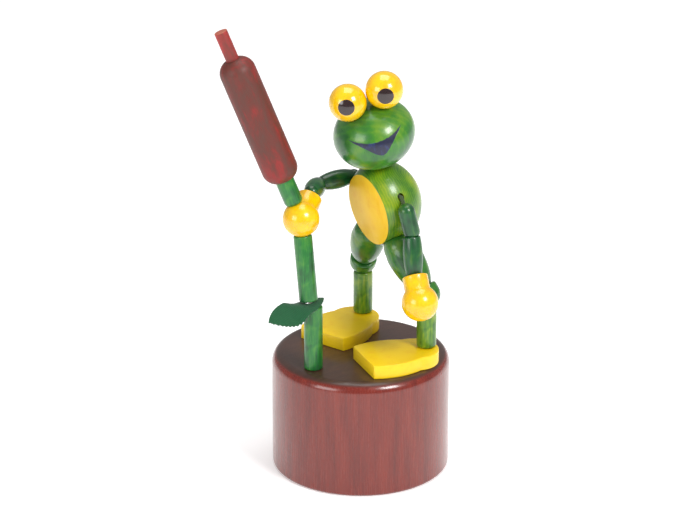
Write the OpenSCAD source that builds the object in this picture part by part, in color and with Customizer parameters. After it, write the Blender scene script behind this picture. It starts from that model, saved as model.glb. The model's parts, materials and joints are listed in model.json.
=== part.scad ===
// Wooden press-button puppet: a strung bead frog holding a bulrush, on a turned drum.
// The frog faces -Y, its left side is +X and the middle of the drum's underside is the origin.

/* [Drum] */
// Diameter of the turned drum
drum_d = 58; // [56:1:70]
// Height of the drum
drum_h = 39.4; // [32:0.2:48]
// Rounding of the drum's top edge
drum_top_round = 3.7; // [2:0.1:4.5]
// Rounding of the drum's bottom edge
drum_foot_round = 1.2; // [0.6:0.1:2]
// Thickness of the drum's wall
drum_wall = 4.8; // [4:0.1:8]
// Thickness of the drum's top
drum_top_t = 8; // [6:0.5:10]

/* [Press button] */
// Thickness of the press disc
disc_t = 5; // [4:0.5:6]
// Radial clearance of the press disc in the drum
disc_clear = 0.6; // [0.4:0.1:1]
// Depth of the finger recess below the disc
recess_depth = 5.2; // [4.8:0.1:6]
// Diameter of the spring, between wire centres
spring_d = 14; // [11:0.5:18]
// Diameter of the spring wire
spring_wire = 1.2; // [0.8:0.1:1.4]
// Turns of the spring
spring_turns = 6; // [5:1:7]

/* [Feet] */
// Thickness of the feet
foot_t = 4.6; // [3.8:0.1:6]
// Distance from the shin to the toe edge
foot_reach = 22; // [18:0.5:24]
// Greatest width of the feet
foot_w = 20.2; // [17:0.2:21]
// Turn of the left foot's toes towards the middle, degrees
left_toe_in = 13; // [8:1:16]
// Turn of the right foot's toes towards the middle, degrees
right_toe_in = 17; // [8:1:20]

/* [Legs] */
// Distance of each shin from the frog's middle
shin_half = 17.7; // [17:0.1:18.5]
// Distance of the shins behind the drum's centre
shin_y = 12.8; // [11:0.1:14]
// Diameter of the shins
shin_d = 6.4; // [5.6:0.1:7.8]
// Length of the shins
shin_len = 14.8; // [12:0.2:20]
// Radius of the knee beads
knee_r = 4.4; // [4.2:0.1:5.3]
// Thickness of the knee bead's collar
collar_t = 2.6; // [2.2:0.1:3.2]
// Greatest radius of the thighs
thigh_r = 5.7; // [4.8:0.1:6.2]
// Radius of the hip balls
hip_r = 5.2; // [4.4:0.1:5.4]
// Distance of each hip ball from the frog's middle
hip_half = 8.5; // [7.5:0.1:9.5]
// Distance of the hip balls behind the drum's centre
hip_y = 8.7; // [8:0.1:10]
// Height of the hip balls above the tops of the shins
hip_rise = 17.2; // [15:0.2:20]

/* [Torso and head] */
// Radius of the torso
torso_r = 12.2; // [11:0.1:14.6]
// Half length of the torso
torso_half = 14.3; // [13:0.1:17]
// Forward lean of the torso, degrees
torso_lean = 10.5; // [7:0.5:14]
// Distance of the flat belly from the torso's axis
belly_off = 6.2; // [5:0.1:7.4]
// Radius of the head across
head_r = 13.2; // [11:0.1:15.8]
// Half height of the head
head_half = 11; // [9.4:0.1:13.2]
// Forward lean of the head, degrees
head_lean = 20; // [14:1:26]
// Turn of the head to the frog's left, degrees
head_turn = 64; // [0:1:70]
// Diameter of the eyes
eye_d = 12.1; // [10:0.1:14.4]

/* [Arms] */
// Diameter of the left upper arm
upper_arm_d = 5.4; // [4.6:0.1:6]
// Length of the left upper arm between its ball centres
upper_arm_len = 6.8; // [6:0.1:8.2]
// Greatest diameter of the forearms
forearm_d = 6.4; // [5.6:0.1:7.2]
// Length of the left forearm between its joints
forearm_len = 12.7; // [11:0.1:15]
// Diameter of the hands
hand_d = 11.8; // [10:0.1:13]
// Diameter of the hands' necks
neck_d = 8.2; // [7.4:0.1:8.8]
// Length of each hand from its wrist joint to its middle
hand_len = 10.5; // [9.5:0.1:12]

/* [Bulrush] */
// Diameter of the stem pieces
stem_d = 6; // [5:0.1:7.2]
// Length of the lower stem
lower_stem_len = 22.6; // [19:0.2:27]
// Length of the middle stem
mid_stem_len = 21.6; // [18:0.2:26]
// Length of the upper stem that shows
upper_stem_len = 8.4; // [6:0.2:10]
// Diameter of the bulrush head
rush_d = 11.6; // [9.8:0.1:14]
// Length of the bulrush head
rush_len = 43.4; // [36:0.2:52]
// Diameter of the tip
tip_d = 4.2; // [3.6:0.1:5]
// Length of the tip that shows
tip_len = 10.5; // [8:0.5:13]
// Lean of the upper stem and the bulrush, degrees
rush_lean = 21.7; // [18:0.1:26]

/* [Leaf] */
// Length of the leaf
leaf_len = 22; // [18:0.5:26]
// Width of the leaf
leaf_w = 11; // [9:0.5:13]
// Thickness of the leaf
leaf_t = 0.6; // [0.4:0.1:0.8]

/* [Cords] */
// Diameter of the cords
cord_d = 1.2; // [1:0.1:1.4]
// Diameter of the cord holes
hole_d = 2.4; // [2:0.1:2.8]

/* [Hidden] */
$fn = 96;

green = [0.22, 0.48, 0.16];
light_green = [0.42, 0.6, 0.12];
dark_green = [0.08, 0.36, 0.2];
yellow = [0.98, 0.78, 0.06];

// Fits.
gap = 0.12;          // between a ball and its dish
seat = 0.06;         // between pieces that are strung tight
open_gap = 0.3;      // at the right wrist, where the loop is open
rim = 0.25;          // flat left round a dish
edge = 0.9;          // rounding of the rods' edges
neck_edge = 0.5;     // rounding of the hands' necks
past = 1;            // how far a cut runs past a face
bend = 0.7;          // how far a bore runs past a bend

// Drum and button.
hollow_d = drum_d - 2 * drum_wall;
ceiling_z = drum_h - drum_top_t;
disc_z = recess_depth;
disc_top = disc_z + disc_t;

// Legs. A bead's bowl rests in a dish in the piece below it.
mid_x = 0.93;
foot_z = drum_h + foot_t;
shin_top = foot_z + shin_len;
knee_z = shin_top + dish_rise(knee_r + gap, shin_d / 2 - rim);
hip_z = shin_top + hip_rise;

// Torso. Its round top is the pivot ball of the head.
torso_up = [0, -sin(torso_lean), cos(torso_lean)];
torso_c = [mid_x, hip_y - 0.4, hip_z + torso_half - 1.2];
neck_r = torso_r * torso_r / torso_half;
neck_c = torso_c + (torso_half - neck_r) * torso_up;
neck_sink = 0.6;
head_up = [0, -sin(9), cos(9)];
head_c = neck_c + (neck_r + gap + head_half - neck_sink) * head_up;
bore_c = torso_c + [0, 2, 1];
arm_hole = torso_c + [0, -1.3, 5.6];
eye_shift = 1.2;     // the eyes are glued a little off the middle
eye_front = 2;
eye_rise = head_half + 3.8;

// Left arm, from the shoulder down.
left_shoulder = torso_c + [torso_r + upper_arm_d / 2 + 0.3, -2.1, 2.1];
left_elbow = left_shoulder + upper_arm_len * unit([1.2, 1.2, -6.6]);
left_wrist = left_elbow + forearm_len * unit([3, -1.2, -12.3]);
left_palm = left_wrist + hand_len * unit([5.6, -1.5, -8.9]);

// Bulrush, from the drum up. The lean is towards the frog's right and front.
stem_at = [3.42, -21.09];
leaf_z = drum_h + lower_stem_len;
stem_shift = [-0.85, -1.2, 0];
mid_up = unit([-4.4, 0.2, 26.9]);
rush_up = [-sin(rush_lean) * sin(35), -sin(rush_lean) * cos(35), cos(rush_lean)];
stem_foot = [stem_at.x, stem_at.y, leaf_z + leaf_t + 2 * gap] + stem_shift;
stem_top = [stem_at.x, stem_at.y, leaf_z - 0.6] + 0.3 * stem_shift;
palm_rise = dish_rise(hand_d / 2 + gap, stem_d / 2 - rim);
right_palm = stem_foot + (mid_stem_len + palm_rise) * mid_up;
rush_start = right_palm + (palm_rise + upper_stem_len) * rush_up;
rush_round = 4.6;
tip_z = rush_len - 1;

// Right arm, from the torso to the hand on the stem.
right_ball_r = 2.1;
right_shoulder = torso_c + [-torso_r - 0.9, -2.6, 6];
right_wrist = right_palm + hand_len * unit([-4.4, 6.9, 5.7]);
right_elbow = (right_shoulder + right_wrist) / 2 + [-4.3, -2.3, -0.8];

// Cord holes and knots in the disc.
left_knot = [12.4, 8.5, disc_z];
right_knot = [-11.2, 8.5, disc_z];
stem_knot = [2.4, -15, disc_z];
knot_r = 1.5;
cord_side = 0.75;    // the two leg cords run side by side in the torso

arch_r = 8;          // bend of the leaf over the stem
leaf_turn = 92;      // direction of the leaf's rib
arch_drop = arch_r - dish_rise(arch_r, stem_d / 2 + abs(stem_shift.x));
spring_sides = 8;
spring_steps = 14;   // rings in one turn

function unit(v) = v / norm(v);
function dish_rise(ball, rim_r) = sqrt(ball * ball - rim_r * rim_r);
function shin_at(side) = [mid_x + side * shin_half, shin_y, foot_z];
function knee(side) = [mid_x + side * shin_half, shin_y, knee_z];
function hip(side) = [mid_x + side * hip_half, hip_y, hip_z];
function neck_side(side) = [side * cord_side, 0, 0];
function eye_at(side) = [eye_shift + side * (eye_d / 2 + seat), -eye_front, eye_rise];

// Turns +Z onto the line from p to q and starts at p.
module along(p, q) {
    v = q - p;
    translate(p) rotate([0, acos(v.z / norm(v)), atan2(v.y, v.x)]) children();
}

// A hole on the line from p to q, running past both ends.
module bore(p, q, before = past, after = past, d = hole_d) {
    along(p, q) translate([0, 0, -before]) cylinder(d = d, h = norm(q - p) + before + after);
}

// A turned rod with rounded edges, standing on the origin.
module rod(length, d, round = edge) {
    rotate_extrude() {
        square([d / 2 - round, length]);
        translate([0, round]) square([d / 2, length - 2 * round]);
        for (z = [round, length - round]) translate([d / 2 - round, z]) intersection() {
            circle(round);
            translate([0, -round]) square([round, 2 * round]);
        }
    }
}

// Half outline of a barrel bead whose side is one arc, widest in the middle.
module barrel_side(length, d, end_d) {
    swell = (d - end_d) / 2;
    arc_r = (length * length / 4 + swell * swell) / (2 * swell);
    intersection() {
        translate([d / 2 - arc_r, length / 2]) circle(arc_r, $fn = 360);
        square([d, length]);
    }
}

// Half outline of a ball at the height z.
module ball_side(r, z = 0) {
    translate([0, z]) intersection() {
        circle(r);
        translate([0, -r]) square([r, 2 * r]);
    }
}

// A round cord or wire through a list of points.
module swept(points, d, sides) {
    rings = [for (i = [0:len(points) - 1]) ring(points, i, d / 2, sides)];
    verts = [for (r = rings) each r];
    last = (len(points) - 1) * sides;
    walls = [for (i = [0:len(points) - 2]) for (k = [0:sides - 1])
        let (a = i * sides + k, b = i * sides + (k + 1) % sides)
        each [[a, b, b + sides], [a, b + sides, a + sides]]];
    caps = [[for (k = [sides - 1:-1:0]) k], [for (k = [0:sides - 1]) last + k]];
    polyhedron(verts, concat(walls, caps));
}

// One ring of a swept cord, square to the mean direction at its point.
function ring(points, i, r, sides) =
    let (before = points[max(i - 1, 0)], after = points[min(i + 1, len(points) - 1)],
         t = unit(after - before),
         side = unit(cross(abs(t.x) < 0.9 ? [1, 0, 0] : [0, 1, 0], t)),
         up = cross(t, side))
    [for (k = [0:sides - 1]) points[i] + r * (cos(360 * k / sides) * side + sin(360 * k / sides) * up)];

module base_drum() {
    color([0.4, 0.15, 0.1]) difference() {
        rotate_extrude() {
            translate([0, drum_foot_round]) square([drum_d / 2, drum_h - drum_foot_round - drum_top_round]);
            square([drum_d / 2 - drum_foot_round, drum_h / 2]);
            translate([0, drum_h / 2]) square([drum_d / 2 - drum_top_round, drum_h / 2]);
            translate([drum_d / 2 - drum_foot_round, drum_foot_round]) circle(drum_foot_round);
            translate([drum_d / 2 - drum_top_round, drum_h - drum_top_round]) circle(drum_top_round);
        }
        translate([0, 0, -past]) cylinder(d = hollow_d, h = ceiling_z + past);
        for (at = [shin_at(1), shin_at(-1), [stem_at.x, stem_at.y, 0]])
            translate([at.x, at.y, ceiling_z - past]) cylinder(d = hole_d, h = drum_top_t + 2 * past);
    }
}

module press_disc() {
    color([0.75, 0.6, 0.4]) difference() {
        translate([0, 0, disc_z]) rod(disc_t, hollow_d - 2 * disc_clear);
        for (at = [left_knot, right_knot, stem_knot])
            translate([at.x, at.y, disc_z - past]) cylinder(d = hole_d, h = disc_t + 2 * past);
    }
}

module press_spring() {
    rise = ceiling_z - disc_top - spring_wire - 2 * seat;
    turn_at = function (i) 360 * i / spring_steps;
    steps = spring_turns * spring_steps;
    coil = [for (i = [0:steps]) [spring_d / 2 * cos(turn_at(i)), spring_d / 2 * sin(turn_at(i)),
        disc_top + seat + spring_wire / 2 + rise * i / steps]];
    color("silver") swept(coil, spring_wire, spring_sides);
}

module cord_knots() {
    color("ivory") for (at = [left_knot, right_knot, stem_knot])
        translate([at.x, at.y, disc_z - seat - knot_r]) sphere(knot_r);
}

module foot_outline() {
    heel_r = foot_w * 0.4;
    side_r = foot_reach;
    widest = foot_reach - 14.5 * foot_reach / 22;
    heel_y = shin_d / 2 + 0.5 - heel_r;
    translate([0, heel_y]) circle(heel_r);
    intersection() {
        translate([foot_w / 2 - side_r, widest - foot_reach]) circle(side_r);
        translate([side_r - foot_w / 2, widest - foot_reach]) circle(side_r);
        translate([-foot_w, -foot_reach]) square([2 * foot_w, foot_reach + heel_y]);
    }
}

module foot(side, toe_in) {
    color(yellow) translate([shin_at(side).x, shin_y, drum_h]) rotate([0, 0, -side * toe_in]) difference() {
        linear_extrude(foot_t) foot_outline();
        translate([0, 0, -past]) cylinder(d = hole_d, h = foot_t + 2 * past);
    }
}

module shin(side) {
    color(light_green) difference() {
        translate(shin_at(side) + [0, 0, seat]) rod(shin_len - seat, shin_d);
        translate(knee(side)) sphere(knee_r + gap);
        bore(shin_at(side), knee(side));
    }
}

module knee_bead(side) {
    color(green) difference() {
        along(knee(side), hip(side)) rotate_extrude() {
            intersection() {
                ball_side(knee_r);
                translate([0, -knee_r]) square(knee_r);
            }
            square([knee_r, collar_t - edge]);
            square([knee_r - edge, collar_t]);
            translate([knee_r - edge, collar_t - edge]) circle(edge);
        }
        bore(knee(side), hip(side), bend, 0);
        bore(shin_at(side), knee(side), 0, bend);
    }
}

// An egg-shaped bead: its upper end is the hip ball, and it tapers to the knee's collar.
module thigh(side) {
    length = norm(hip(side) - knee(side));
    widest = length - 3.2;
    color(green) difference() {
        along(knee(side), hip(side)) difference() {
            union() {
                translate([0, 0, length]) sphere(hip_r);
                for (half = [[8, 0], [13.4, 180]]) translate([0, 0, widest]) intersection() {
                    scale([thigh_r, thigh_r, half[0]]) sphere(1);
                    rotate([half[1], 0, 0]) cylinder(r = 2 * thigh_r, h = length);
                }
            }
            translate([0, 0, collar_t + seat - length]) cylinder(r = 2 * thigh_r, h = length);
        }
        bore(knee(side), hip(side), 0, bend);
        bore(hip(side), bore_c, bend, 0);
    }
}

// Half outline of the torso: a side arc running smoothly into an arc at each end.
module torso_side() {
    end_at = torso_half - neck_r;
    step_in = torso_r - neck_r;
    side_off = (end_at * end_at - step_in * step_in) / (2 * step_in);
    side_r = torso_r + side_off;
    meet_z = side_r * end_at / (side_r - neck_r);
    for (z = [-end_at, end_at]) ball_side(neck_r, z);
    intersection() {
        translate([-side_off, 0]) circle(side_r);
        translate([0, -meet_z]) square([torso_r, 2 * meet_z]);
    }
}

module torso() {
    color(light_green) difference() {
        torso_frame() rotate([0, 0, 90]) rotate_extrude() torso_side();
        torso_frame() translate([-2 * torso_r, -4 * torso_r - belly_off, -2 * torso_r]) cube(4 * torso_r);
        for (side = [-1, 1]) translate(hip(side)) sphere(hip_r + gap);
        for (side = [-1, 1]) bore(hip(side), bore_c, 0, past);
        bore(bore_c, neck_c + neck_r * torso_up, 2 * past, past, 2 * cord_side + hole_d);
        translate(arm_hole) rotate([0, 90, 0]) cylinder(d = hole_d, h = 4 * torso_r, center = true);
    }
}

module torso_frame() {
    translate(torso_c) rotate([torso_lean, 0, 0]) children();
}

// Places a piece in the head's own frame: up along its axis, facing -Y.
module in_head() {
    translate(head_c) rotate([head_lean, 0, 0]) rotate([0, 0, head_turn]) children();
}

module head() {
    color(green) difference() {
        in_head() difference() {
            scale([head_r, head_r, head_half]) sphere(1);
            for (side = [-1, 1]) translate(eye_at(side)) sphere(d = eye_d + 2 * seat);
        }
        translate(neck_c) sphere(neck_r + gap);
        bore(neck_c, head_c, 0, 2, 2 * cord_side + hole_d);
    }
}

// The two leg cords are tied together inside the head.
module neck_knot() {
    color("ivory") translate(head_c) sphere(cord_side + cord_d / 2 + 0.4);
}

module eye(side) {
    color(yellow) in_head() translate(eye_at(side)) sphere(d = eye_d);
}

module left_upper_arm() {
    r = upper_arm_d / 2;
    color(dark_green) difference() {
        along(left_shoulder, left_elbow) rotate_extrude() {
            ball_side(r);
            square([r, upper_arm_len]);
            ball_side(r, upper_arm_len);
        }
        bore(left_shoulder, left_elbow, bend, 2 * r);
        bore(hole_mouth(1), left_shoulder, r, past, hole_d - 0.2);
    }
}

// Where the arm cord leaves the torso on each side.
function hole_mouth(side) = arm_hole + [side * torso_r * sqrt(1 - pow(5.6 / torso_half, 2)), 0, 0];

// A bead with a ball at q, and a dish for the ball of radius ball_r at p.
module forearm(p, q, palm, ball_r, end_r) {
    start = dish_rise(ball_r + gap, dish_share * ball_r);
    length = norm(q - p);
    color(dark_green) difference() {
        along(p, q) rotate_extrude() {
            translate([0, start]) barrel_side(length - start, forearm_d, 2 * end_r);
            ball_side(end_r, length);
        }
        translate(p) sphere(ball_r + gap);
        bore(p, q, past, bend);
        bore(q, palm, bend, -end_r);
    }
}

dish_share = 0.85;   // rim of an arm dish, as a share of its ball's radius
left_end_r = 2.7;    // end of the left forearm
right_end_r = 2.5;   // end of the right forearm
arm_ease = 0.6;      // from an arm bead's ball centre to the end of its barrel
cord_in_hand = 5;    // from the wrist's centre to the end of the arm cord

module right_upper_arm() {
    length = norm(right_elbow - right_shoulder);
    color(dark_green) difference() {
        along(right_shoulder, right_elbow) rotate_extrude() {
            ball_side(right_ball_r);
            translate([0, arm_ease]) barrel_side(length - 2 * arm_ease, forearm_d - 0.3, 2 * right_ball_r);
            ball_side(right_ball_r, length);
        }
        bore(right_shoulder, right_elbow, 0, bend, hole_d - 0.4);
        bore(right_elbow, right_wrist, bend, 0, hole_d - 0.4);
        bore(hole_mouth(-1), right_shoulder, right_ball_r, past, hole_d - 0.6);
    }
}

// A round hand with a tapered neck whose dish takes the forearm's ball at w.
module hand(w, p, ball_r, clear) {
    start = dish_rise(ball_r + clear, dish_share * ball_r);
    color(yellow) difference() {
        along(w, p) rotate_extrude() {
            ball_side(hand_d / 2, hand_len);
            translate([0, start]) square([neck_d / 2 - neck_edge, hand_len - start]);
            translate([0, start + neck_edge]) square([neck_d / 2, hand_len - start - neck_edge]);
            translate([neck_d / 2 - neck_edge, start + neck_edge]) circle(neck_edge);
        }
        translate(w) sphere(ball_r + clear);
        bore(w, p, 0, cord_in_hand + seat - hand_len);
        children();
    }
}

module right_hand() {
    hand(right_wrist, right_palm, right_end_r, open_gap) {
        bore(stem_foot, right_palm, 0, past);
        bore(right_palm, rush_start, past, 0);
    }
}

module lower_stem() {
    color(dark_green) difference() {
        translate([stem_at.x, stem_at.y, drum_h + seat]) rod(lower_stem_len - arch_drop - 2 * seat, stem_d, 0.4);
        translate([stem_at.x, stem_at.y, drum_h - past]) cylinder(d = hole_d, h = lower_stem_len + 2 * past);
    }
}

// The leaf's frame: X along its rib, the origin at the centre of its bend.
module leaf_frame() {
    translate([stem_foot.x, stem_foot.y, leaf_z - arch_r]) rotate([0, 0, leaf_turn]) children();
}

module leaf() {
    side_r = (leaf_len * leaf_len + leaf_w * leaf_w) / (4 * leaf_w);
    color([0.02, 0.28, 0.18]) leaf_frame() difference() {
        intersection() {
            rotate([0, 90, 0]) cylinder(r = arch_r + leaf_t, h = 2 * leaf_len, center = true);
            translate([-leaf_len * 0.22, 0, 0]) linear_extrude(2 * arch_r) intersection() {
                translate([0, side_r - leaf_w / 2]) circle(side_r);
                translate([0, leaf_w / 2 - side_r]) circle(side_r);
            }
        }
        rotate([0, 90, 0]) cylinder(r = arch_r, h = 4 * leaf_len, center = true);
        cylinder(d = hole_d + 0.4, h = 2 * arch_r);
    }
}

module mid_stem() {
    color(dark_green) difference() {
        along(stem_foot, right_palm) rod(mid_stem_len, stem_d, 0.5);
        translate(right_palm) sphere(hand_d / 2 + gap);
        bore(stem_foot, right_palm);
    }
}

module upper_stem() {
    color(dark_green) difference() {
        along(right_palm, rush_start) translate([0, 0, palm_rise])
            rod(upper_stem_len + rush_round, stem_d, 1.4);
        translate(right_palm) sphere(hand_d / 2 + gap);
        bore(right_palm, rush_start);
    }
}

module rush_head() {
    color([0.42, 0.14, 0.11]) along(rush_start, rush_start + rush_up) difference() {
        rod(rush_len, rush_d, rush_round);
        translate([0, 0, -past]) cylinder(d = stem_d + 2 * seat, h = rush_round + seat + past);
        translate([0, 0, tip_z - rush_round]) cylinder(d = tip_d + 2 * seat, h = 2 * rush_round);
    }
}

module rush_tip() {
    color([0.65, 0.1, 0.08]) along(rush_start, rush_start + rush_up)
        translate([0, 0, tip_z - rush_round + seat]) rod(tip_len + rush_round, tip_d, 0.2);
}

// Cord routes.
left_leg_route = leg_route(1, left_knot);
right_leg_route = leg_route(-1, right_knot);
function leg_route(side, knot) = [
    knot, [knot.x, knot.y, disc_top + 0.5],
    [shin_at(side).x, shin_y, ceiling_z + 0.5], shin_at(side),
    knee(side), hip(side), bore_c + neck_side(side),
    neck_c + neck_r * torso_up + neck_side(side), head_c - 2.2 * head_up + neck_side(side)
];
stem_route = [
    stem_knot, [stem_knot.x, stem_knot.y, disc_top + 0.5],
    [stem_at.x, stem_at.y, ceiling_z + 0.5], [stem_at.x, stem_at.y, drum_h],
    stem_top, stem_foot, right_palm, rush_start - rush_up
];
arm_route = [
    left_wrist + cord_in_hand * unit(left_palm - left_wrist), left_wrist, left_elbow, left_shoulder,
    hole_mouth(1), hole_mouth(-1), right_shoulder, right_elbow, right_wrist,
    right_wrist + cord_in_hand * unit(right_palm - right_wrist)
];

module cord(route) { color("ivory") swept(route, cord_d, 8); }

base_drum();
press_disc();
press_spring();
cord_knots();
foot(1, left_toe_in);  // left_foot
foot(-1, right_toe_in);  // right_foot
shin(1);  // left_shin
shin(-1);  // right_shin
knee_bead(1);  // left_knee
knee_bead(-1);  // right_knee
thigh(1);  // left_thigh
thigh(-1);  // right_thigh
torso();
neck_knot();
head();
eye(1);  // left_eye
eye(-1);  // right_eye
left_upper_arm();
forearm(left_elbow, left_wrist, left_palm, upper_arm_d / 2, left_end_r);  // left_forearm
hand(left_wrist, left_palm, left_end_r, gap);  // left_hand
right_upper_arm();
forearm(right_elbow, right_wrist, right_palm, right_ball_r, right_end_r);  // right_forearm
right_hand();
lower_stem();
leaf();
mid_stem();
upper_stem();
rush_head();
rush_tip();
cord(left_leg_route);  // left_leg_cord
cord(right_leg_route);  // right_leg_cord
cord(arm_route);  // arm_cord
cord(stem_route);  // stem_cord
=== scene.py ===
"""Looks of a wooden push puppet: a strung-bead frog that holds a bulrush on a hollow turned drum."""

import json
import logging
import math
from dataclasses import dataclass, field
from enum import Enum
from typing import Any, Sequence

import bmesh
import bpy
from mathutils import Matrix, Vector


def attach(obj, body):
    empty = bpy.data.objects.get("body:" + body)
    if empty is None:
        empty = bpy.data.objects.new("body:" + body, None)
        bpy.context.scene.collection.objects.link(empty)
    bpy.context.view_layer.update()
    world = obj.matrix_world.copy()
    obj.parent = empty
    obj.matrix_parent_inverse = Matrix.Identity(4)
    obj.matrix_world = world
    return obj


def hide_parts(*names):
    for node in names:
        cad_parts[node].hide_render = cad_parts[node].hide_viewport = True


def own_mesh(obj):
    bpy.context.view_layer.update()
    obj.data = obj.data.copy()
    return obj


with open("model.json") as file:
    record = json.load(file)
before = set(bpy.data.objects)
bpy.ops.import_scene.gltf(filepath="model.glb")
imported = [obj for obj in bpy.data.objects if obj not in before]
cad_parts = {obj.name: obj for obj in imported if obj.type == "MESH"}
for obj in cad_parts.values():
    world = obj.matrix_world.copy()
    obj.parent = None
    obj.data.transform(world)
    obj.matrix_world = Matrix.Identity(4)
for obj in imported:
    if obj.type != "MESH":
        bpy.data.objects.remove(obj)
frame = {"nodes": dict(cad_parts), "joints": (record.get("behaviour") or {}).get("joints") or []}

MM = 0.001
SMOOTH_ANGLE = math.radians(35)
LOG = logging.getLogger("push_puppet")
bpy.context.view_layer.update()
Outline = list[tuple[float, float]]
Colour = tuple[float, float, float, float]
Inputs = dict[str, Any]


def srgb(red: int, green: int, blue: int) -> Colour:
    """Turns a colour from 0 to 255 into the linear values that a shader takes.

    Args:
        red, green, blue: the colour's parts, from 0 to 255.

    Returns:
        The linear colour with an alpha of 1.
    """
    def linear(part: int) -> float:
        """One part of the colour."""
        share = part / 255
        return share / 12.92 if share <= 0.04045 else ((share + 0.055) / 1.055) ** 2.4

    return (linear(red), linear(green), linear(blue), 1.0)


# ---------------------------------------------------------------- shader maths


class Sock:
    """A shader socket that takes part in sums; each sum adds its Math node."""

    def __init__(self, graph: "Graph", socket: bpy.types.NodeSocket) -> None:
        """Wraps one output socket of a graph."""
        self.graph = graph
        self.socket = socket

    def maths(self, operation: str, *values: Any) -> "Sock":
        """A Math node of that operation on the values."""
        return self.graph.add("ShaderNodeMath", {"operation": operation}, list(values))

    def __add__(self, other: Any) -> "Sock":
        """self + other."""
        return self.maths("ADD", self, other)

    def __radd__(self, other: Any) -> "Sock":
        """other + self."""
        return self.maths("ADD", other, self)

    def __sub__(self, other: Any) -> "Sock":
        """self - other."""
        return self.maths("SUBTRACT", self, other)

    def __rsub__(self, other: Any) -> "Sock":
        """other - self."""
        return self.maths("SUBTRACT", other, self)

    def __mul__(self, other: Any) -> "Sock":
        """self * other."""
        return self.maths("MULTIPLY", self, other)

    def __rmul__(self, other: Any) -> "Sock":
        """other * self."""
        return self.maths("MULTIPLY", other, self)

    def __truediv__(self, other: Any) -> "Sock":
        """self / other."""
        return self.maths("DIVIDE", self, other)

    def __rtruediv__(self, other: Any) -> "Sock":
        """other / self."""
        return self.maths("DIVIDE", other, self)

    def __pow__(self, other: Any) -> "Sock":
        """self ** other."""
        return self.maths("POWER", self, other)

    def __neg__(self) -> "Sock":
        """-self."""
        return self.maths("MULTIPLY", self, -1.0)

    def sine(self) -> "Sock":
        """The sine of self."""
        return self.maths("SINE", self)

    def exponent(self) -> "Sock":
        """e to the power of self."""
        return self.maths("EXPONENT", self)

    def step(self, low: float, high: float) -> "Sock":
        """A soft step from 0 at low to 1 at high.

        Args:
            low: the value at which the step starts.
            high: the value at which it has reached 1; it may be below low.

        Returns:
            The stepped value, between 0 and 1.
        """
        if high < low:
            return 1.0 - self.step(high, low)
        return self.graph.add(
            "ShaderNodeMapRange", {"interpolation_type": "SMOOTHSTEP"}, [self, low, high, 0.0, 1.0]
        )


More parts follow.
